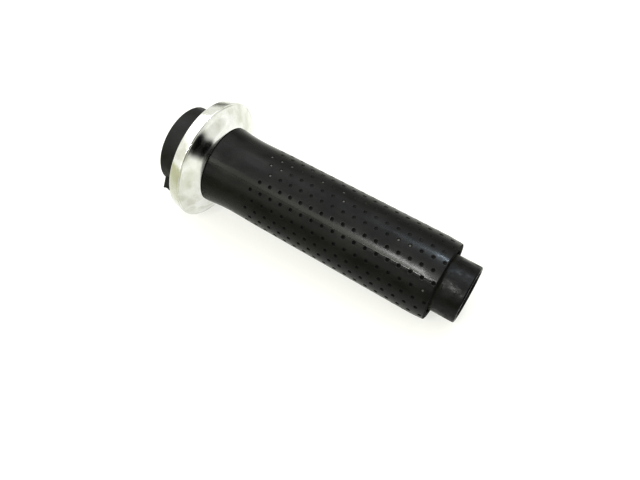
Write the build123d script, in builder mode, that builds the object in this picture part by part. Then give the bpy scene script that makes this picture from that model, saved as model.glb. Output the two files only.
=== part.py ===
"""Right-hand throttle grip for a 22.2 mm handlebar, as five separate pieces.

Part frame: the origin is on the bar's axis at the back plane of the chromed flange, +X runs along
the bar to its outer end and +Z is up. Turning the grip about +X by the right-hand rule opens the
throttle. All sizes are in millimetres, and angles in degrees are counted from +Y towards +Z.
"""
from build123d import *
from math import cos, sin, radians
import os

# ---- driving dimensions ------------------------------------------------------------------
BAR_BORE_R = 11.25          # runs on a 22.2 mm bar
AXIAL_GAP = 0.3             # between the flange and the pieces that turn, on each side
RUNNING_GAP = 0.08          # radial gap of the seat on the tube's collar
OVERLAP = 1.0               # joined shapes reach this far into each other, and cuts past an edge

# chromed flange, a pressed sheet
FLANGE_BACK_R = 27.9
FLANGE_CREASE_X = 5.9
FLANGE_CREASE_R = 29.0
FLANGE_FACE_R = 46.0        # radius of the hollow trumpet face
FLANGE_HUB_X = 11.1         # front plane of the hub
FLANGE_HUB_R = 19.1         # where the trumpet face meets the hub
FLANGE_BORE_R = 15.4
SHEET = 1.0
CREASE_SETBACK = 0.75       # the sheet's inner side starts this far behind the crease
HUB_SETBACK = 0.6           # and meets the hub this far further in

# flange seat
SEAT_RECESS = 0.6
SEAT_WEB = 2.6              # wall between the pockets and the flange, along the bar
SEAT_HUB_R = 18.0
SEAT_RIM_WALL = 1.8
SEAT_RIB_COUNT = 8
SEAT_RIB_WIDTH = 1.6

# throttle tube
TUBE_START_X = -13.0
TUBE_END_X = 138.0
TUBE_R = 13.5               # under the drum and the rubber
TUBE_TIP_R = 13.25          # bare outer end, where an end cap fits
TIP_START_X = 128.0
COLLAR_R = 15.0             # the flange's seat runs on it
KEY_COUNT = 4
KEY_WIDTH = 4.0
DRUM_KEY_HEIGHT = 1.3
DRUM_KEY_START_X = -11.0
GRIP_KEY_HEIGHT = 0.8
GRIP_KEY_END_X = 118.0
TIP_CHAMFER = 0.7
BORE_CHAMFER = 0.5

# rubber grip
GRIP_START_X = FLANGE_HUB_X + AXIAL_GAP
GRIP_END_X = 126.2
GRIP_LIP_R = 18.75          # flared lip at the flange
GRIP_NECK_X = 25.0          # the thinnest place
GRIP_NECK_R = 17.8
GRIP_BODY_X = 40.0          # from here the body swells evenly to the outer end
GRIP_BODY_R = 18.1
GRIP_OUTER_R = 18.55
GRIP_LIP_SLOPE = 0.12
GRIP_LIP_FILLET = 1.3
GRIP_END_CHAMFER = 0.8
GRIP_MOUTH_R = 14.5         # shallow recess around the tube at the outer end
GRIP_MOUTH_DEPTH = 1.8

# cable drum
DRUM_START_X = -13.0
DRUM_END_X = -AXIAL_GAP
DRUM_R = 19.0
DRUM_CHAMFER = 0.5
CORE_INNER_R = 16.1
CORE_OUTER_R = 17.5
CORE_DEPTH = 7.0
CORE_RIB_COUNT = 10
CORE_RIB_WIDTH = 1.6
SECTOR_START_X = -11.5      # the raised sector that the two cables wrap on
SECTOR_END_X = -3.5
SECTOR_R = 26.0
SECTOR_FROM = 236.0
SECTOR_TO = 372.0
SECTOR_FLANK = 6.0          # degrees over which each end of the sector falls to the hub
STOP_R = 23.7               # pointed stop tooth ahead of the sector
STOP_ANGLE = 210.5
STOP_RISE = 14.0            # degrees over which its first flank rises
STOP_FALL = 4.0
GROOVE_WIDTH = 2.0
GROOVE_R = 23.4
GROOVE_XS = (-9.6, -5.4)
POCKET_R = 2.9              # barrel nipples of the two cables
POCKET_PITCH_R = 21.9
POCKET_ANGLES = (248.0, 360.0)


def polar(radius, angle):
    """A point of the plane across the bar: y, z."""
    return radius * cos(radians(angle)), radius * sin(radians(angle))


def across_at(x):
    """The plane across the bar at x, with its normal along +X."""
    return Plane.YZ.offset(x)


def key_bars(inner_r, outer_r, start_x, end_x, phase):
    """Evenly spaced straight keys round the bar, from inner_r to outer_r."""
    with BuildPart(mode=Mode.PRIVATE) as keys:
        with BuildSketch(across_at(start_x)):
            with PolarLocations(0, KEY_COUNT, start_angle=phase):
                with Locations(((inner_r + outer_r) / 2, 0)):
                    Rectangle(outer_r - inner_r, KEY_WIDTH)
        extrude(amount=end_x - start_x)
    return keys.part


def drum_keys():
    """The keys between the tube and the drum, whose slots are open at its outboard face."""
    phase = 45
    return key_bars(TUBE_R - OVERLAP, TUBE_R + DRUM_KEY_HEIGHT, DRUM_KEY_START_X, DRUM_END_X, phase)


def grip_keys():
    """The keys that stop the rubber from slipping on the tube."""
    phase = 0
    return key_bars(TUBE_R - OVERLAP, TUBE_R + GRIP_KEY_HEIGHT, GRIP_START_X, GRIP_KEY_END_X, phase)


os.makedirs("parts", exist_ok=True)

# ---- throttle tube: moulded nylon, one piece from the drum to the outer end ----------------
with BuildPart() as throttle_tube:
    with BuildSketch(Plane.XZ):
        with BuildLine():
            Polyline(
                (TUBE_START_X, BAR_BORE_R),
                (TUBE_START_X, TUBE_R),
                (DRUM_END_X, TUBE_R),
                (DRUM_END_X, COLLAR_R),
                (GRIP_START_X, COLLAR_R),
                (GRIP_START_X, TUBE_R),
                (GRIP_END_X - GRIP_MOUTH_DEPTH, TUBE_R),
                (TIP_START_X, TUBE_TIP_R),
                (TUBE_END_X, TUBE_TIP_R),
                (TUBE_END_X, BAR_BORE_R),
                close=True,
            )
        make_face()
    revolve(axis=Axis.X)
    tip_edges = throttle_tube.edges().filter_by(GeomType.CIRCLE).group_by(Axis.X)[-1]
    chamfer(tip_edges.sort_by(SortBy.RADIUS)[-1], TIP_CHAMFER)
    chamfer(tip_edges.sort_by(SortBy.RADIUS)[0], BORE_CHAMFER)
    add(drum_keys())
    add(grip_keys())
    with BuildSketch(across_at(TUBE_START_X - OVERLAP)):
        Circle(BAR_BORE_R)
    extrude(amount=TUBE_END_X - TUBE_START_X + 2 * OVERLAP, mode=Mode.SUBTRACT)
throttle_tube.part.label = "throttle_tube"

# ---- cable drum: a hub with a raised, grooved sector ---------------------------------------
with BuildPart() as cable_drum:
    with BuildSketch(across_at(DRUM_START_X)):
        Circle(DRUM_R)
    extrude(amount=DRUM_END_X - DRUM_START_X)
    chamfer(cable_drum.edges().filter_by(GeomType.CIRCLE), DRUM_CHAMFER)
    with BuildSketch(across_at(SECTOR_START_X)):
        with BuildLine():
            arc_middle = (SECTOR_FROM + SECTOR_TO) / 2
            sector_start = polar(SECTOR_R, SECTOR_FROM)
            sector_end = polar(SECTOR_R, SECTOR_TO)
            ThreePointArc(sector_start, polar(SECTOR_R, arc_middle), sector_end)
            Polyline(
                sector_end,
                polar(DRUM_R - OVERLAP, SECTOR_TO + SECTOR_FLANK),
                polar(TUBE_R, arc_middle),
                polar(DRUM_R - OVERLAP, SECTOR_FROM - SECTOR_FLANK),
                sector_start,
            )
        make_face()
        with BuildLine():
            Polyline(
                polar(DRUM_R - OVERLAP, STOP_ANGLE - STOP_RISE),
                polar(STOP_R, STOP_ANGLE),
                polar(DRUM_R - OVERLAP, STOP_ANGLE + STOP_FALL),
                close=True,
            )
        make_face()
    extrude(amount=SECTOR_END_X - SECTOR_START_X)
    for groove_x in GROOVE_XS:
        with BuildSketch(across_at(groove_x - GROOVE_WIDTH / 2)):
            Circle(SECTOR_R + OVERLAP)
            Circle(GROOVE_R, mode=Mode.SUBTRACT)
        extrude(amount=GROOVE_WIDTH, mode=Mode.SUBTRACT)
    with BuildSketch(across_at(SECTOR_START_X - OVERLAP)):
        for pocket_angle in POCKET_ANGLES:
            with Locations(polar(POCKET_PITCH_R, pocket_angle)):
                Circle(POCKET_R)
    extrude(amount=SECTOR_END_X - SECTOR_START_X + 2 * OVERLAP, mode=Mode.SUBTRACT)
    with BuildSketch(across_at(DRUM_START_X)):
        Circle(CORE_OUTER_R)
        Circle(CORE_INNER_R, mode=Mode.SUBTRACT)
        with PolarLocations((CORE_INNER_R + CORE_OUTER_R) / 2, CORE_RIB_COUNT):
            Rectangle(CORE_OUTER_R - CORE_INNER_R + OVERLAP, CORE_RIB_WIDTH, mode=Mode.SUBTRACT)
    extrude(amount=CORE_DEPTH, mode=Mode.SUBTRACT)
    with BuildSketch(across_at(DRUM_START_X - OVERLAP)):
        Circle(TUBE_R)
    extrude(amount=DRUM_END_X - DRUM_START_X + 2 * OVERLAP, mode=Mode.SUBTRACT)
    add(drum_keys(), mode=Mode.SUBTRACT)
cable_drum.part.label = "cable_drum"

# ---- chromed flange: pressed sheet with a rim band, a crease and a trumpet face ------------
with BuildPart() as chrome_flange:
    with BuildSketch(Plane.XZ):
        with BuildLine():
            crease = (FLANGE_CREASE_X, FLANGE_CREASE_R)
            hub_edge = (FLANGE_HUB_X, FLANGE_HUB_R)
            inner_hub_edge = (FLANGE_HUB_X - SHEET, FLANGE_HUB_R - HUB_SETBACK)
            inner_crease = (FLANGE_CREASE_X - CREASE_SETBACK, FLANGE_CREASE_R - SHEET)
            RadiusArc(crease, hub_edge, FLANGE_FACE_R)
            Polyline(
                hub_edge,
                (FLANGE_HUB_X, FLANGE_BORE_R),
                (FLANGE_HUB_X - SHEET, FLANGE_BORE_R),
                inner_hub_edge,
            )
            RadiusArc(inner_crease, inner_hub_edge, FLANGE_FACE_R)
            Polyline(
                inner_crease,
                (0, FLANGE_BACK_R - SHEET),
                (0, FLANGE_BACK_R),
                crease,
            )
        make_face()
    revolve(axis=Axis.X)
chrome_flange.part.label = "chrome_flange"

# ---- flange seat: moulded ring that fills the flange's back and runs on the collar ---------
with BuildPart() as flange_seat:
    with BuildSketch(Plane.XZ):
        with BuildLine():
            band_slope = (FLANGE_CREASE_R - FLANGE_BACK_R) / inner_crease[0]
            seat_rim_back = (SEAT_RECESS, FLANGE_BACK_R - SHEET + SEAT_RECESS * band_slope)
            seat_bore_r = COLLAR_R + RUNNING_GAP
            RadiusArc(inner_crease, inner_hub_edge, FLANGE_FACE_R)
            Polyline(
                inner_hub_edge,
                (FLANGE_HUB_X - SHEET, seat_bore_r),
                (0, seat_bore_r),
                (0, SEAT_HUB_R),
                (SEAT_RECESS, SEAT_HUB_R),
                seat_rim_back,
                inner_crease,
            )
        make_face()
    revolve(axis=Axis.X)
    with BuildSketch(Plane.XZ):
        with BuildLine():
            pocket_outer_r = FLANGE_BACK_R - SHEET - SEAT_RIM_WALL
            pocket_floor_x = FLANGE_CREASE_X - SEAT_WEB
            Polyline(
                (SEAT_RECESS - OVERLAP, SEAT_HUB_R),
                (SEAT_RECESS - OVERLAP, pocket_outer_r),
                (pocket_floor_x, pocket_outer_r),
                (FLANGE_HUB_X - SHEET - SEAT_WEB, SEAT_HUB_R),
                close=True,
            )
        make_face()
    revolve(axis=Axis.X, mode=Mode.SUBTRACT)
    with BuildSketch(across_at(SEAT_RECESS)):
        with PolarLocations((SEAT_HUB_R + pocket_outer_r) / 2, SEAT_RIB_COUNT):
            Rectangle(pocket_outer_r - SEAT_HUB_R + OVERLAP, SEAT_RIB_WIDTH)
    extrude(amount=pocket_floor_x - SEAT_RECESS + OVERLAP / 2)
flange_seat.part.label = "flange_seat"

# ---- rubber grip: sleeve with a flared lip and a square outer end --------------------------
with BuildPart() as rubber_grip:
    with BuildSketch(Plane.XZ):
        with BuildLine():
            lip = (GRIP_START_X, GRIP_LIP_R)
            body_start = (GRIP_BODY_X, GRIP_BODY_R)
            outer_corner = (GRIP_END_X, GRIP_OUTER_R)
            body_slope = (GRIP_END_X - GRIP_BODY_X, GRIP_OUTER_R - GRIP_BODY_R)
            Spline(
                lip,
                (GRIP_NECK_X, GRIP_NECK_R),
                body_start,
                tangents=[(1, -GRIP_LIP_SLOPE), body_slope],
            )
            Polyline(
                body_start,
                outer_corner,
                (GRIP_END_X, GRIP_MOUTH_R),
                (GRIP_END_X - GRIP_MOUTH_DEPTH, GRIP_MOUTH_R),
                (GRIP_END_X - GRIP_MOUTH_DEPTH, TUBE_R),
                (GRIP_START_X, TUBE_R),
                lip,
            )
        make_face()
    revolve(axis=Axis.X)
    grip_ends = rubber_grip.edges().filter_by(GeomType.CIRCLE)
    fillet(grip_ends.group_by(Axis.X)[0].sort_by(SortBy.RADIUS)[-1], GRIP_LIP_FILLET)
    end_edges = rubber_grip.edges().filter_by(GeomType.CIRCLE).group_by(Axis.X)[-1]
    chamfer(end_edges.sort_by(SortBy.RADIUS)[-1], GRIP_END_CHAMFER)
    add(grip_keys(), mode=Mode.SUBTRACT)
rubber_grip.part.label = "rubber_grip"

for piece in (throttle_tube, cable_drum, chrome_flange, flange_seat, rubber_grip):
    export_step(piece.part, f"parts/{piece.part.label}.step")
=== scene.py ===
"""Looks of a right-hand throttle grip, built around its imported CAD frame.

Everything is in metres in the CAD frame: +X runs along the bar to its outer end, +Z is up and the
origin is on the bar's axis at the chromed flange's back plane. Angles round the bar are counted
from +Y towards +Z. Profiles are written in millimetres, as (along the bar, out from its axis).
"""
from math import cos, exp, pi, radians, sin, sqrt, tan
from random import Random

import bmesh
import bpy
from mathutils import Matrix, Vector


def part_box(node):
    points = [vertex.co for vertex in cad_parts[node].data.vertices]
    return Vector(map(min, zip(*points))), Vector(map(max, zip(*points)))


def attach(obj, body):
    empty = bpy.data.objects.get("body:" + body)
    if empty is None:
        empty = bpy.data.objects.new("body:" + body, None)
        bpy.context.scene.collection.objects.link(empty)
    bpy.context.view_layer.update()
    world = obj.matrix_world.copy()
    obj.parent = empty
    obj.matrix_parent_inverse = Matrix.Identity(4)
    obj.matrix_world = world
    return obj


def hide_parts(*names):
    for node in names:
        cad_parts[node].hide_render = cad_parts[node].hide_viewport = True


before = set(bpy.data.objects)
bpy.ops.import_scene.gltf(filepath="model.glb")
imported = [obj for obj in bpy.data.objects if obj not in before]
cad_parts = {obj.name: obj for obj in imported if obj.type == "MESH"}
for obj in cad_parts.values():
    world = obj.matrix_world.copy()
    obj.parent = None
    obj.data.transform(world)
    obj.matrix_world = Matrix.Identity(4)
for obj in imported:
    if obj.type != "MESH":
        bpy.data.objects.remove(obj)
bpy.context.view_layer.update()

MM = 0.001
FULL_TURN = 360.0


def extent(node):
    """A CAD node's start, end and outer radius about the bar, in millimetres."""
    low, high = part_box(node)
    return low.x / MM, high.x / MM, high.z / MM


# ---- sizes, in millimetres ------------------------------------------------------------------
GRIP_START, GRIP_END, _ = extent("rubber_grip")
TUBE_START, TUBE_END, COLLAR_R = extent("throttle_tube")
FLANGE_BACK, FLANGE_HUB, FLANGE_R = extent("chrome_flange")
_, DRUM_END, _ = extent("cable_drum")

TUBE_R = 13.5
TIP_R = 13.25
TIP_START = 128.0
BAR_BORE_R = 11.25
PAINTED_SHEEN_END = 127.6           # a lighter olive band of painted reflection lies on the bare tube short of this
PAINTED_SHEEN_LENGTH = 10.0

SHEET = 1.0                 # the flange's thickness
FLANGE_BACK_R = 27.9
CREASE = (5.9, FLANGE_R)
HUB = (FLANGE_HUB, 19.1)
FLANGE_BORE_R = 15.4
INNER_FACE_R = 46.0         # radius of the arc that the sheet's hidden side follows
GROOVE_STEP = (-0.12, -0.62)    # from the crease to the bottom of the fine groove behind it
FACE_STEP = (0.22, -0.95)       # from the crease to the face's outer edge
FACE_SLOPES = (0.42, 0.34)      # the S-shaped face's slopes at its outer edge and at the hub
FACE_STEPS = 28

GRIP_LIP_R = 18.75
GRIP_NECK = (25.0, 17.8)
GRIP_BODY = (40.0, 18.1)
GRIP_OUTER_R = 18.55
GRIP_MOUTH_R = 15.0
GRIP_MOUTH_DEPTH = 1.8
GRIP_INNER_MOUTH_R = 15.5
LIP_SLOPE = -0.12
LIP_BULGE = 0.25            # the soft lip stands this much closer to the flange than its CAD solid
LIP_EDGE = 0.4
LIP_RINGS = 26              # plain rings from the lip to the first dimples
MATT_AND_SHADE_EDGE = 0.15            # the end face is matt, and darkened as painted shade, from this far below the sleeve's outer surface
ROLL_X = 118.5              # from here the sleeve falls away softly to its outer end
ROLL_SLOPE = 0.06
ROLL_EASE = 1.2             # that fall sets in over about this length

ROWS = 24                   # rows of dimples round the grip
ROW_ANGLE = FULL_TURN / ROWS
FIRST_ROW_ANGLE = 140.2
HALF_PITCH = 2.63           # neighbouring rows are shifted by this along the bar
FIRST_DIMPLE_X = 35.3
LAST_STEP = 34              # half pitches from the first dimple to the last
TWIST = 1.289 / 18.0        # degrees of twist of the rows per millimetre
END_STRIP = 0.3             # half pitches of plain rubber after the last dimples' centres
PARTING_ANGLE = 132.7       # the mould's parting line runs along the grip here, and opposite
BLANK = {(-2, 0)}           # places in the pattern that have no dimple: row, half pitches along

CELL_SPLITS = 6             # mesh divisions along each side of a dimple's cell
HALF_CELL = CELL_SPLITS // 2
BORDER_START_ANGLE = -135.0     # a cell's border is listed from its corner in this direction
FIRST_LINE = -HALF_CELL     # lattice lines are counted from the first dimple, HALF_CELL to a half pitch
LAST_LINE = (LAST_STEP + 1) * HALF_CELL
DIMPLE = ((0.77, 0.0), (0.71, 0.03), (0.66, 0.18), (0.58, 0.48), (0.42, 0.74), (0.20, 0.84))
DIMPLE_FLOOR_DIP = 0.01     # the centre lies this much below the last ring of that profile
RIM_BLENDS = (0.60, 0.22)   # how far the rings round a dimple lean towards their cell's border

DUST_FILL = 0.45            # a dusty dimple's depth, as a share of a clean one's
DUST_R = 0.5                # dust lies within this of a dimple's centre
LIGHTER_DIMPLE_ANGLE = 72.0       # the dimples that face this way are coloured lighter
DIMPLE_LIGHTENING = 0.42
DIMPLE_LIGHTENING_RANGE = (0.4, 1.0)   # it varies by this from dimple to dimple
DIMPLE_LIGHTENING_DEPTH = 0.1      # that lighter colour lies below this depth
DUSTY = {                   # dimples with dust in them: row, half pitches along
    (-4, 0), (-4, 2), (-4, 4), (-4, 10), (-4, 14), (-3, 1), (-3, 3), (-3, 15),
    (-2, 2), (-2, 26), (-2, 28), (1, 33), (-5, 7), (-6, 12), (-7, 21), (-9, 16), (5, 19), (8, 10),
}


# ---- mesh helpers ---------------------------------------------------------------------------
def place(x, radius, angle):
    """A point from its position along the bar, its radius and its angle, in metres."""
    turn = radians(angle)
    return Vector((x, radius * cos(turn), radius * sin(turn))) * MM


def add_object(name, mesh, smooth=True):
    """A new object for a mesh, shaded smooth unless told otherwise."""
    piece = bpy.data.objects.new(name, mesh)
    bpy.context.scene.collection.objects.link(piece)
    if smooth:
        mesh.shade_smooth()
    return piece


def rotated(vector, angle):
    """A 2-D vector turned counter-clockwise by an angle in radians."""
    return Vector((
        vector.x * cos(angle) - vector.y * sin(angle),
        vector.x * sin(angle) + vector.y * cos(angle),
    ))


def rounded(corners, steps=6):
    """Points of a closed outline whose corners, (x, r, fillet), are rounded by their fillets."""
    points = []
    for i, (x, r, fillet) in enumerate(corners):
        here = Vector((x, r))
        before = Vector(corners[i - 1][:2])
        after = Vector(corners[(i + 1) % len(corners)][:2])
        if fillet == 0:
            points.append((x, r))
            continue
        back = (before - here).normalized()
        ahead = (after - here).normalized()
        half = back.angle(ahead) / 2
        centre = here + (back + ahead).normalized() * fillet / sin(half)
        start = here + back * fillet / tan(half)
        end = here + ahead * fillet / tan(half)
        spoke = start - centre
        sweep = spoke.angle_signed(end - centre)
        for k in range(steps + 1):
            points.append(tuple(centre + rotated(spoke, -sweep * k / steps)))
    return points


def arc(start, end, radius, steps):
    """Points of an arc between two points, with both ends left out."""
    a, b = Vector(start), Vector(end)
    chord = b - a
    rise = sqrt(radius ** 2 - (chord.length / 2) ** 2)
    normal = Vector((-chord.y, chord.x)).normalized()
    centre = (a + b) / 2 + normal * rise
    spoke = a - centre
    sweep = spoke.angle_signed(b - centre)
    return [tuple(centre + rotated(spoke, -sweep * k / steps)) for k in range(1, steps)]


def hermite(t, a, b, slope_a, slope_b, span):
    """A cubic curve from a to b, with its slopes at both ends, at the share t of a span."""
    return (
        (2 * t ** 3 - 3 * t ** 2 + 1) * a
        + (t ** 3 - 2 * t ** 2 + t) * slope_a * span
        + (3 * t ** 2 - 2 * t ** 3) * b
        + (t ** 3 - t ** 2) * slope_b * span
    )


def fix_normals(mesh):
    """Turns every face of a closed mesh outwards."""
    work = bmesh.new()
    work.from_mesh(mesh)
    bmesh.ops.recalc_face_normals(work, faces=work.faces)
    work.to_mesh(mesh)
    work.free()


def lathe(name, outline, segments=192):
    """A closed outline of (x, r) points turned about the bar."""
    verts = [
        place(x, r, FULL_TURN * s / segments)
        for s in range(segments)
        for x, r in outline
    ]
    count = len(outline)
    faces = []
    for s in range(segments):
        here, there = s * count, (s + 1) % segments * count
        for k in range(count):
            after = (k + 1) % count
            faces.append((here + k, here + after, there + after, there + k))
    mesh = bpy.data.meshes.new(name)
    mesh.from_pydata(verts, [], faces)
    fix_normals(mesh)
    return add_object(name, mesh)


# ---- rubber grip ----------------------------------------------------------------------------
def grip_radius(x):
    """The rubber's outer radius along the bar."""
    body_x, body_r = GRIP_BODY
    neck_x, neck_r = GRIP_NECK
    body_slope = (GRIP_OUTER_R - body_r) / (GRIP_END - body_x)
    if x >= body_x:
        past = max(0.0, x - ROLL_X)
        fall = ROLL_SLOPE * (past - ROLL_EASE * (1 - exp(-past / ROLL_EASE)))
        return body_r + body_slope * (x - body_x) - fall
    if x >= neck_x:
        span = body_x - neck_x
        return hermite((x - neck_x) / span, neck_r, body_r, 0.0, body_slope, span)
    span = neck_x - GRIP_START
    return hermite((x - GRIP_START) / span, GRIP_LIP_R, neck_r, LIP_SLOPE, 0.0, span)


def line_x(line):
    """Position of a lattice line along the bar."""
    past = max(0, line - LAST_STEP * HALF_CELL)
    step = (line - past) / HALF_CELL + past / HALF_CELL * END_STRIP
    return FIRST_DIMPLE_X + step * HALF_PITCH


def is_listed(row, step, places):
    """Whether a cell is among places, whose rows count both ways from the first."""
    return (row if row < ROWS / 2 else row - ROWS, step) in places


class GripMesh:
    """Builds the sleeve: plain rings at both ends and a lattice of cells with a dimple in each."""

    def __init__(self):
        self.verts = []
        self.faces = []
        self.dust_and_lightening = []
        self.matt_and_shade = []
        self.lattice = {}
        self.around = ROWS * CELL_SPLITS
        self.chance = Random(7)

    def vertex(self, x, radius, angle, dust_and_lightening=0.0, matt_and_shade=0.0):
        """Adds a vertex, whose angle follows the twist of the rows, and returns its index."""
        self.verts.append(place(x, radius, angle - TWIST * (x - FIRST_DIMPLE_X)))
        self.dust_and_lightening.append(dust_and_lightening)
        self.matt_and_shade.append(matt_and_shade)
        return len(self.verts) - 1

    def column_angle(self, column):
        """Angle of a lattice column, where column 0 runs through the first row's dimples."""
        return FIRST_ROW_ANGLE + column * ROW_ANGLE / CELL_SPLITS

    def lattice_vertex(self, line, column):
        """The shared vertex where a lattice line and a column cross."""
        key = (line, column % self.around)
        if key not in self.lattice:
            x = line_x(line)
            self.lattice[key] = self.vertex(x, grip_radius(x), self.column_angle(column))
        return self.lattice[key]

    def ring(self, x, radius, matt_and_shade):
        """A plain ring of vertices."""
        angles = [self.column_angle(column) for column in range(self.around)]
        return [self.vertex(x, radius, angle, 0.0, matt_and_shade) for angle in angles]

    def join(self, ring_a, ring_b):
        """Faces between two rings of the same count."""
        count = len(ring_a)
        for i in range(count):
            j = (i + 1) % count
            self.faces.append((ring_a[i], ring_a[j], ring_b[j], ring_b[i]))

    def plain_patch(self, line_from, line_to, column_from):
        """A grid of quads over part of a row, one cell wide."""
        for line in range(line_from, line_to):
            for column in range(column_from, column_from + CELL_SPLITS):
                self.faces.append((
                    self.lattice_vertex(line, column),
                    self.lattice_vertex(line, column + 1),
                    self.lattice_vertex(line + 1, column + 1),
                    self.lattice_vertex(line + 1, column),
                ))

    def dimple_cell(self, row, step):
        """A cell of the lattice with a dimple at its centre."""
        low, high = (step - 1) * HALF_CELL, (step + 1) * HALF_CELL
        left, right = row * CELL_SPLITS - HALF_CELL, row * CELL_SPLITS + HALF_CELL
        border = [(line, left) for line in range(low, high)]
        border += [(high, column) for column in range(left, right)]
        border += [(line, right) for line in range(high, low, -1)]
        border += [(low, column) for column in range(right, left, -1)]
        outer = [self.lattice_vertex(*key) for key in border]
        centre_x = FIRST_DIMPLE_X + step * HALF_PITCH
        centre_angle = self.column_angle(row * CELL_SPLITS)
        per_degree = grip_radius(centre_x) * radians(1)
        dusty = is_listed(row, step, DUSTY)
        fill = DUST_FILL if dusty else 1.0
        # dimples are coloured lighter the more they face upwards, near 72 degrees round the bar
        upward = max(0.0, cos(radians(centre_angle - LIGHTER_DIMPLE_ANGLE)))
        lightening = DIMPLE_LIGHTENING * upward ** 3 * self.chance.uniform(*DIMPLE_LIGHTENING_RANGE)

        def ring_at(radius, depth, blend):
            """A ring round the dimple's centre, blended towards the cell's border."""
            ring = []
            # the dimple's own rings are matt and darkened, a painted shade in the hollow
            matt_and_shade = float(blend == 0)
            dust_and_lightening = float(radius < DUST_R) if dusty else lightening * float(depth > DIMPLE_LIGHTENING_DEPTH)
            for i, (line, column) in enumerate(border):
                turn = radians(FULL_TURN * i / len(border) + BORDER_START_ANGLE)
                x = centre_x + radius * cos(turn)
                angle = centre_angle + radius * sin(turn) / per_degree
                x += (line_x(line) - x) * blend
                angle += (self.column_angle(column) - angle) * blend
                ring.append(self.vertex(x, grip_radius(x) - depth * fill, angle, dust_and_lightening, matt_and_shade))
            return ring

        rim_r = DIMPLE[0][0]
        rings = [outer] + [ring_at(rim_r, 0.0, blend) for blend in RIM_BLENDS]
        rings += [ring_at(radius, depth, 0.0) for radius, depth in DIMPLE]
        for ring_a, ring_b in zip(rings, rings[1:]):
            self.join(ring_a, ring_b)
        floor_r = grip_radius(centre_x) - DIMPLE[-1][1] * fill - DIMPLE_FLOOR_DIP
        centre = self.vertex(centre_x, floor_r, centre_angle, 1.0 if dusty else lightening, 1.0)
        last = rings[-1]
        for i in range(len(last)):
            self.faces.append((last[i], last[(i + 1) % len(last)], centre))

    def build(self):
        """The whole sleeve as one closed mesh."""
        for row in range(ROWS):
            odd = row % 2
            left = row * CELL_SPLITS - HALF_CELL
            for step in range(odd, LAST_STEP + 1 - odd, 2):
                if is_listed(row, step, BLANK):
                    self.plain_patch((step - 1) * HALF_CELL, (step + 1) * HALF_CELL, left)
                else:
                    self.dimple_cell(row, step)
            if odd:
                self.plain_patch(FIRST_LINE, 0, left)
                self.plain_patch(LAST_STEP * HALF_CELL, LAST_LINE, left)
        columns = range(self.around)
        first = [self.lattice_vertex(FIRST_LINE, column) for column in columns]
        last = [self.lattice_vertex(LAST_LINE, column) for column in columns]
        self.close(first, last)
        mesh = bpy.data.meshes.new("rubber_sleeve")
        mesh.from_pydata(self.verts, [], self.faces)
        for name, values in (("dust_and_lightening", self.dust_and_lightening), ("matt_and_shade", self.matt_and_shade)):
            attribute = mesh.attributes.new(name, "FLOAT", "POINT")
            attribute.data.foreach_set("value", values)
        fix_normals(mesh)
        return mesh

    def close(self, first, last):
        """Joins both ends of the lattice round the lip, the bore, the mouth and the end face."""
        end_x = line_x(LAST_LINE)
        end_r = grip_radius(end_x)
        lip_start = GRIP_START - LIP_BULGE
        outline = [
            (end_x, end_r, 0),
            (GRIP_END, end_r - 0.1, (GRIP_END - end_x) * 0.8),
            (GRIP_END, GRIP_MOUTH_R, 0.35),
            (GRIP_END - GRIP_MOUTH_DEPTH, GRIP_MOUTH_R, 0.3),
            (GRIP_END - GRIP_MOUTH_DEPTH, TUBE_R, 0),
            (lip_start, GRIP_INNER_MOUTH_R, 0),
            (lip_start, GRIP_LIP_R, LIP_EDGE),
        ]
        lip_end = lip_start + 2 * LIP_EDGE
        run_up = line_x(FIRST_LINE) - lip_end
        for k in range(LIP_RINGS):
            x = lip_end + run_up * k / LIP_RINGS
            outline.append((x, grip_radius(x), 0))
        rings = [last]
        # the end face and the mouth are matt and darkened, a painted shade
        for x, r in rounded(outline)[1:]:
            rings.append(self.ring(x, r, float(x > end_x and r < end_r - MATT_AND_SHADE_EDGE)))
        rings.append(first)
        for ring_a, ring_b in zip(rings, rings[1:]):
            self.join(ring_a, ring_b)


# ---- materials ------------------------------------------------------------------------------
MIX_A, MIX_B, MIX_RESULT = 6, 7, 2      # the colour sockets of a Mix node


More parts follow.
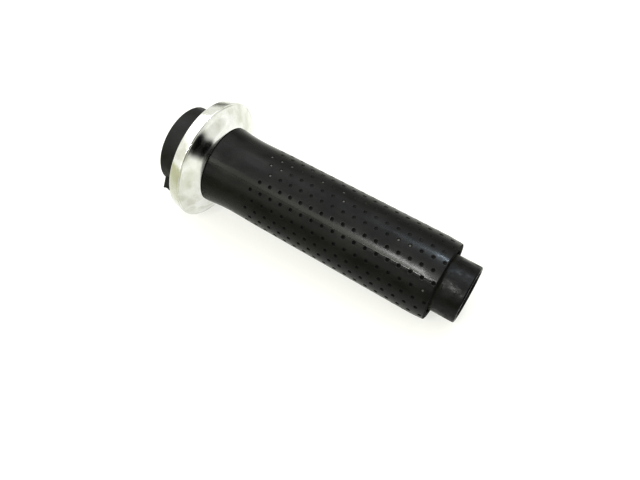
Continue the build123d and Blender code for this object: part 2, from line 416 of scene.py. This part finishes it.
class Nodes:
    """A small helper that wires a material's nodes."""

    def __init__(self, name):
        self.material = bpy.data.materials.new(name)
        self.material.use_nodes = True
        self.tree = self.material.node_tree
        self.shader = self.tree.nodes["Principled BSDF"]
        self.coords = self.tree.nodes.new("ShaderNodeTexCoord").outputs["Object"]

    def node(self, kind, **values):
        """A new node with its inputs set by name."""
        made = self.tree.nodes.new(kind)
        for key, value in values.items():
            made.inputs[key.replace("_", " ")].default_value = value
        return made

    def link(self, source, target):
        """Joins two sockets."""
        self.tree.links.new(source, target)

    def noise(self, scale, detail=3.0, roughness=0.5, stretch=(1, 1, 1)):
        """Noise over the object's own coordinates, in features per metre."""
        made = self.node("ShaderNodeTexNoise", Scale=scale, Detail=detail, Roughness=roughness)
        mapping = self.node("ShaderNodeMapping", Scale=stretch)
        self.link(self.coords, mapping.inputs["Vector"])
        self.link(mapping.outputs["Vector"], made.inputs["Vector"])
        return made.outputs["Fac"]

    def attribute(self, name):
        """A number kept on the mesh's vertices."""
        made = self.tree.nodes.new("ShaderNodeAttribute")
        made.attribute_name = name
        return made.outputs["Fac"]

    def math(self, operation, value_a, value_b):
        """A sum, a maximum or the like of two values."""
        made = self.tree.nodes.new("ShaderNodeMath")
        made.operation = operation
        self.link(value_a, made.inputs[0])
        self.link(value_b, made.inputs[1])
        return made.outputs[0]

    def distance_from_plane(self, angle):
        """Distance from the plane through the bar's axis at an angle, in metres."""
        across = (0.0, -sin(radians(angle)), cos(radians(angle)))
        made = self.tree.nodes.new("ShaderNodeVectorMath")
        made.operation = "DOT_PRODUCT"
        made.inputs[1].default_value = across
        self.link(self.coords, made.inputs[0])
        size = self.tree.nodes.new("ShaderNodeMath")
        size.operation = "ABSOLUTE"
        self.link(made.outputs["Value"], size.inputs[0])
        return size.outputs[0]

    def spread(self, value, low, high, out_low, out_high):
        """Maps a value's range to another."""
        made = self.tree.nodes.new("ShaderNodeMapRange")
        made.inputs["From Min"].default_value = low
        made.inputs["From Max"].default_value = high
        made.inputs["To Min"].default_value = out_low
        made.inputs["To Max"].default_value = out_high
        self.link(value, made.inputs["Value"])
        return made.outputs["Result"]

    def blend(self, factor, colour_a, colour_b):
        """Mixes two colours, each a tuple or a socket, by a factor."""
        made = self.tree.nodes.new("ShaderNodeMix")
        made.data_type = "RGBA"
        self.link(factor, made.inputs["Factor"])
        for index, colour in ((MIX_A, colour_a), (MIX_B, colour_b)):
            if isinstance(colour, tuple):
                made.inputs[index].default_value = (*colour, 1.0)
            else:
                self.link(colour, made.inputs[index])
        return made.outputs[MIX_RESULT]

    def bump(self, height, distance, strength=1.0, normal=None):
        """A bump of that height in metres."""
        made = self.node("ShaderNodeBump", Strength=strength, Distance=distance)
        self.link(height, made.inputs["Height"])
        if normal:
            self.link(normal, made.inputs["Normal"])
        return made.outputs["Normal"]

    def set(self, **values):
        """Sets or links the shader's inputs by name."""
        for key, value in values.items():
            socket = self.shader.inputs[key.replace("_", " ")]
            if isinstance(value, bpy.types.NodeSocket):
                self.link(value, socket)
            else:
                socket.default_value = value


def rubber_material():
    """Black moulded rubber, polished by hands, with dust in some of its dimples and a lighter colour in
    those that face upwards; the insides of its dimples and its end face are darkened as painted shade.
    """
    nodes = Nodes("grip_rubber")
    smudge = nodes.noise(130, 5, 0.68, (0.6, 1, 1))
    rubbed = nodes.noise(420, 3, 0.6, (0.05, 1, 1))
    grain = nodes.noise(2600, 3, 0.6)
    dust_and_lightening = nodes.attribute("dust_and_lightening")
    matt_and_shade = nodes.attribute("matt_and_shade")
    stained = nodes.spread(smudge, 0.4, 0.7, 0, 1)
    black = nodes.blend(stained, (0.002, 0.002, 0.002), (0.009, 0.009, 0.0078))
    # painted shade: the insides of the dimples and the end face get a darker black
    black_with_painted_shade = nodes.blend(matt_and_shade, black, (0.002, 0.002, 0.0018))
    touched = nodes.spread(smudge, 0.3, 0.7, 0.17, 0.34)
    polish = nodes.math("ADD", touched, nodes.spread(rubbed, 0.3, 0.7, -0.05, 0.07))
    parting = nodes.spread(nodes.distance_from_plane(PARTING_ANGLE), 0.05 * MM, 0.3 * MM, 1, 0)
    nodes.set(
        Base_Color=nodes.blend(dust_and_lightening, black_with_painted_shade, (0.10, 0.10, 0.088)),
        Roughness=nodes.math("MAXIMUM", polish, nodes.spread(matt_and_shade, 0, 1, 0, 0.8)),
        Specular_IOR_Level=0.30,
        Normal=nodes.bump(grain, 0.000005, 0.5, nodes.bump(parting, 0.00003)),
    )
    return nodes.material


def chrome_material():
    """Bright chrome plate, with a thin haze and faint yellowish blotches."""
    nodes = Nodes("chrome")
    haze = nodes.noise(75, 4, 0.6)
    blotch = nodes.noise(160, 3, 0.5)
    hazy = nodes.blend(nodes.spread(haze, 0.4, 0.65, 0, 1), (0.82, 0.825, 0.82), (0.71, 0.715, 0.68))
    nodes.set(
        Base_Color=nodes.blend(nodes.spread(blotch, 0.5, 0.7, 0, 1), hazy, (0.64, 0.645, 0.59)),
        Metallic=1.0,
        Roughness=nodes.spread(haze, 0.35, 0.75, 0.11, 0.22),
    )
    return nodes.material


def plastic_material(name, colour, worn, rough_low, rough_high, waviness, sheen_end=None):
    """Moulded nylon, satin, with rubbed patches.

    Where its last argument is given, a lighter olive band of painted reflection lies short of that
    point along the bar.
    """
    nodes = Nodes(name)
    patches = nodes.noise(230, 4, 0.6, (0.7, 1, 1))
    waves = nodes.noise(160, 2, 0.5)
    grain = nodes.noise(3200, 2, 0.5)
    finish = nodes.blend(nodes.spread(patches, 0.4, 0.7, 0, 1), colour, worn)
    roughness = nodes.spread(patches, 0.42, 0.60, rough_low, rough_high)
    # painted reflection: a lighter, olive, matt band on the tube just past the grip's end
    if sheen_end:
        split = nodes.node("ShaderNodeSeparateXYZ")
        nodes.link(nodes.coords, split.inputs[0])
        along = split.outputs["X"]
        ragged = nodes.math("ADD", along, nodes.spread(patches, 0.3, 0.7, -1.3 * MM, 1.3 * MM))
        sheen_start = sheen_end - PAINTED_SHEEN_LENGTH
        past_start = nodes.spread(along, (sheen_start - 2) * MM, sheen_start * MM, 0, 1)
        before_end = nodes.spread(ragged, sheen_end * MM, (sheen_end - 1) * MM, 0, 1)
        painted_sheen = nodes.math("MULTIPLY", past_start, before_end)
        finish = nodes.blend(painted_sheen, finish, (0.010, 0.0085, 0.0035))
        roughness = nodes.math("MAXIMUM", roughness, nodes.spread(painted_sheen, 0, 1, 0, 0.75))
    nodes.set(
        Base_Color=finish,
        Roughness=roughness,
        Specular_IOR_Level=0.30,
        Normal=nodes.bump(grain, 0.00001, 0.6, nodes.bump(waves, waviness * MM)),
    )
    return nodes.material


# ---- the pieces -----------------------------------------------------------------------------
def make_flange():
    """The chromed flange: a thin pressed sheet with a rolled crease and a trumpet face."""
    inner_crease = (CREASE[0] - 0.75 * SHEET, CREASE[1] - SHEET)
    inner_hub = (HUB[0] - SHEET, HUB[1] - 0.6 * SHEET)
    groove = (CREASE[0] + GROOVE_STEP[0], CREASE[1] + GROOVE_STEP[1])
    face_start = (CREASE[0] + FACE_STEP[0], CREASE[1] + FACE_STEP[1])
    height = face_start[1] - HUB[1]
    face = []
    for k in range(1, FACE_STEPS):
        share = k / FACE_STEPS
        x = hermite(share, face_start[0], HUB[0], *FACE_SLOPES, height)
        face.append((x, face_start[1] - height * share, 0))
    inner_face = [(x, r, 0) for x, r in arc(inner_crease, inner_hub, INNER_FACE_R, 24)]
    corners = [
        (FLANGE_BACK, FLANGE_BACK_R - SHEET, 0.15),
        (FLANGE_BACK, FLANGE_BACK_R, 0.75),
        (*CREASE, 0.26),
        (*groove, 0.15),
        (*face_start, 0.12),
        *face,
        (*HUB, 0.4),
        (FLANGE_HUB, FLANGE_BORE_R, 0.2),
        (inner_hub[0], FLANGE_BORE_R, 0.2),
        (*inner_hub, 0),
        *reversed(inner_face),
        (*inner_crease, 0),
    ]
    return lathe("flange_plate", rounded(corners), 256)


def make_tube():
    """The throttle tube, with soft moulded edges at its bare outer end."""
    corners = [
        (TUBE_START, BAR_BORE_R, 0.3),
        (TUBE_START, TUBE_R, 0.4),
        (DRUM_END, TUBE_R, 0),
        (DRUM_END, COLLAR_R, 0.2),
        (GRIP_START, COLLAR_R, 0.2),
        (GRIP_START, TUBE_R, 0),
        (GRIP_END - GRIP_MOUTH_DEPTH, TUBE_R, 0),
        (TIP_START, TIP_R, 0.5),
        (TUBE_END, TIP_R, 0.75),
        (TUBE_END, BAR_BORE_R, 0.45),
    ]
    return lathe("moulded_tube", rounded(corners))


def finish_with(piece, material, body, replaced):
    """Gives a new piece its material, its body and the CAD node that it stands for."""
    piece.data.materials.append(material)
    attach(piece, body)
    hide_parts(replaced)


def soften_cad(node, material, width):
    """Gives a CAD node its material and soft moulded edges."""
    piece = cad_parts[node]
    piece.data.materials.clear()
    piece.data.materials.append(material)
    weld = piece.modifiers.new("weld", "WELD")
    weld.merge_threshold = 1e-6
    bevel = piece.modifiers.new("soft_edges", "BEVEL")
    bevel.width = width * MM
    bevel.segments = 2
    bevel.limit_method = "ANGLE"
    bevel.angle_limit = radians(35)
    bevel.harden_normals = False


rubber = rubber_material()
chrome = chrome_material()
tube_plastic = plastic_material(
    "tube_nylon", (0.002, 0.002, 0.002), (0.005, 0.005, 0.0045), 0.20, 0.5, 0.5, PAINTED_SHEEN_END
)
drum_plastic = plastic_material(
    "drum_nylon", (0.006, 0.006, 0.006), (0.016, 0.016, 0.015), 0.36, 0.58, 0.2
)
seat_plastic = plastic_material(
    "seat_plastic", (0.006, 0.006, 0.006), (0.015, 0.015, 0.015), 0.48, 0.62, 0.1
)

grip = add_object("rubber_sleeve", GripMesh().build())
finish_with(grip, rubber, "throttle", "rubber_grip")
flange = make_flange()
finish_with(flange, chrome, "flange", "chrome_flange")
tube = make_tube()
finish_with(tube, tube_plastic, "throttle", "throttle_tube")
soften_cad("cable_drum", drum_plastic, 0.15)
soften_cad("flange_seat", seat_plastic, 0.12)


# ---- stage, light and camera, in metres -----------------------------------------------------
FLOOR_REACH = 6.0
CARD_POINTS = 48
GRIP_MIDDLE = ((GRIP_START + GRIP_END) / 2 * MM, 0, 0)
GRIP_OUTER_END = (GRIP_END * MM, 0, 0)
FLANGE_CENTRE = (0, 0, 0)


def stage_floor():
    """A pale floor, tilted to meet both the flange's rim and the grip's outer end."""
    rim_x, rim_r = CREASE
    end_x, end_r = GRIP_END - 0.7, GRIP_OUTER_R
    rise = (rim_r - end_r) / (end_x - rim_x)
    base = -(rim_r + rise * rim_x) * MM
    corners = [(-FLOOR_REACH, -FLOOR_REACH), (FLOOR_REACH, -FLOOR_REACH)]
    corners += [(FLOOR_REACH, FLOOR_REACH), (-FLOOR_REACH, FLOOR_REACH)]
    mesh = bpy.data.meshes.new("floor")
    mesh.from_pydata([(x, y, base + rise * x) for x, y in corners], [], [(0, 1, 2, 3)])
    floor = add_object("floor", mesh, smooth=False)
    nodes = Nodes("pale_floor")
    nodes.set(Base_Color=(0.25, 0.25, 0.23, 1), Roughness=0.9, Emission_Color=(1, 1, 0.975, 1))
    nodes.set(Emission_Strength=0.70, Specular_IOR_Level=0.0)
    mesh.materials.append(nodes.material)


def direction(azimuth, elevation):
    """A unit vector: azimuth 0 points to -Y and 90 to +X."""
    a, e = radians(azimuth), radians(elevation)
    return Vector((sin(a) * cos(e), -cos(a) * cos(e), sin(e)))


def softbox(name, aim, azimuth, elevation, distance, size, radiance, colour=(1, 1, 1)):
    """A rectangular lamp that faces a point; its size is (along the bar, across)."""
    lamp = bpy.data.lights.new(name, "AREA")
    lamp.shape = "RECTANGLE"
    lamp.size, lamp.size_y = size
    lamp.energy = radiance * pi * size[0] * size[1]
    lamp.color = colour
    piece = bpy.data.objects.new(name, lamp)
    bpy.context.scene.collection.objects.link(piece)
    back = direction(azimuth, elevation)
    along = (Vector((1, 0, 0)) - back * back.x).normalized()
    across = back.cross(along)
    piece.matrix_world = Matrix((
        (along.x, across.x, back.x, 0),
        (along.y, across.y, back.y, 0),
        (along.z, across.z, back.z, 0),
        (0, 0, 0, 1),
    ))
    piece.location = Vector(aim) + back * distance


def reflected_card(name, centre, facing, size, colour, core):
    """An oval card that only reflections see, as a photographer uses to give chrome its contrast.

    It is solid out to the share core of its size, and fades out from there to its edge.
    """
    back = Vector(facing).normalized()
    across = Vector((0, 0, 1)).cross(back).normalized()
    wide, high = across * size[0] / 2, back.cross(across) * size[1] / 2
    middle = Vector(centre)
    verts = [middle]
    shade = [1.0]
    for reach, dark in ((core, 1.0), ((1 + core) / 2, 0.5), (1.0, 0.0)):
        for k in range(CARD_POINTS):
            turn = radians(FULL_TURN * k / CARD_POINTS)
            verts.append(middle + (wide * cos(turn) + high * sin(turn)) * reach)
            shade.append(dark)
    faces = []
    for k in range(CARD_POINTS):
        inner, after = 1 + k, 1 + (k + 1) % CARD_POINTS
        faces.append((0, inner, after))
        for _ in range(2):
            outer, outer_after = inner + CARD_POINTS, after + CARD_POINTS
            faces.append((inner, outer, outer_after, after))
            inner, after = outer, outer_after
    mesh = bpy.data.meshes.new(name)
    mesh.from_pydata(verts, [], faces)
    mesh.attributes.new("shade", "FLOAT", "POINT").data.foreach_set("value", shade)
    card = add_object(name, mesh, smooth=False)
    nodes = Nodes(name)
    nodes.set(Base_Color=(*colour, 1), Roughness=1.0, Specular_IOR_Level=0.0)
    nodes.set(Alpha=nodes.attribute("shade"))
    mesh.materials.append(nodes.material)
    card.visible_camera = False
    card.visible_shadow = False
    card.visible_diffuse = False


def light_the_grip():
    """The lamps that shine on the grip and draw the highlights along it."""
    softbox("key", GRIP_OUTER_END, -14, 52, 0.75, (0.07, 0.09), 68.0)
    softbox("key_end", GRIP_OUTER_END, -3, 45, 0.75, (0.05, 0.08), 56.0)
    softbox("key_wide", GRIP_MIDDLE, -24, 43, 0.75, (0.45, 0.19), 3.6, (0.98, 1.0, 0.82))
    softbox("front_glow", GRIP_MIDDLE, -20, 18, 0.75, (0.60, 0.32), 1.1, (1.0, 0.99, 0.90))
    daylight = (0.75, 0.88, 1.0)
    softbox("window", GRIP_OUTER_END, -171, 71, 0.75, (0.12, 0.035), 36.0, daylight)
    softbox("window_end", GRIP_OUTER_END, -176.5, 71, 0.75, (0.045, 0.03), 230.0, daylight)


def light_the_flange():
    """The faint lamps round the flange, and the cards that the chrome and the rubber mirror."""
    softbox("left_fill", FLANGE_CENTRE, -62, 18, 0.9, (0.8, 0.8), 0.45)
    softbox("back_fill", FLANGE_CENTRE, -108, 46, 0.9, (0.6, 0.5), 1.7)
    softbox("rim_fill", FLANGE_CENTRE, -130, 14, 0.9, (0.7, 0.6), 0.28)
    softbox("right_fill", FLANGE_CENTRE, 120, 14, 0.9, (0.7, 0.7), 0.28)
    black, grey, olive = (0, 0, 0), (0.20, 0.20, 0.19), (0.34, 0.34, 0.25)
    reflected_card(
        "dark_card_right", (0.165, -0.002, 0.024), (-1, 0, 0), (0.105, 0.084), black, 0.6
    )
    reflected_card(
        "dark_card_left", (-0.184, 0.245, 0.030), (0.62, -0.78, 0), (0.18, 0.15), grey, 0.1
    )
    reflected_card(
        "olive_card", (-0.02, -0.19, 0.003), (0, 0.16, 0.987), (0.64, 0.35), olive, 0.68
    )


def set_world():
    """A plain white backdrop, with a greyer room for reflections."""
    world = bpy.data.worlds.new("studio")
    bpy.context.scene.world = world
    world.use_nodes = True
    tree = world.node_tree
    background = tree.nodes["Background"]
    coords = tree.nodes.new("ShaderNodeTexCoord")
    split = tree.nodes.new("ShaderNodeSeparateXYZ")
    ramp = tree.nodes.new("ShaderNodeValToRGB")
    tree.links.new(coords.outputs["Generated"], split.inputs[0])
    tree.links.new(split.outputs["Z"], ramp.inputs["Fac"])
    stops = ramp.color_ramp.elements
    stops[0].position, stops[0].color = 0.50, (0.74, 0.74, 0.68, 1)
    stops[1].position, stops[1].color = 0.78, (1.9, 1.9, 1.88, 1)
    path = tree.nodes.new("ShaderNodeLightPath")
    seen = tree.nodes.new("ShaderNodeMix")
    seen.data_type = "RGBA"
    tree.links.new(path.outputs["Is Camera Ray"], seen.inputs["Factor"])
    tree.links.new(ramp.outputs["Color"], seen.inputs[MIX_A])
    seen.inputs[MIX_B].default_value = (1.0, 1.0, 1.0, 1)
    tree.links.new(seen.outputs[MIX_RESULT], background.inputs["Color"])


def set_camera():
    """The camera looks down on the grip from near its outer end."""
    aim = Vector((0.0653, 0.0, -0.0173))
    azimuth, elevation, distance, roll = 27.07, 52.77, 0.3115, 6.69
    camera = bpy.data.cameras.new("camera")
    camera.lens = 37.125
    camera.sensor_width = 36.0
    camera.clip_start, camera.clip_end = 0.01, 20.0
    piece = bpy.data.objects.new("camera", camera)
    bpy.context.scene.collection.objects.link(piece)
    back = direction(azimuth, elevation)
    turn = back.to_track_quat("Z", "Y").to_matrix()
    turn = turn @ Matrix.Rotation(radians(roll), 3, "Z")
    piece.matrix_world = turn.to_4x4()
    piece.location = aim + back * distance
    bpy.context.scene.camera = piece


set_world()
stage_floor()
light_the_grip()
light_the_flange()
set_camera()
bpy.context.scene.view_settings.view_transform = "Standard"
bpy.context.scene.view_settings.gamma = 0.75
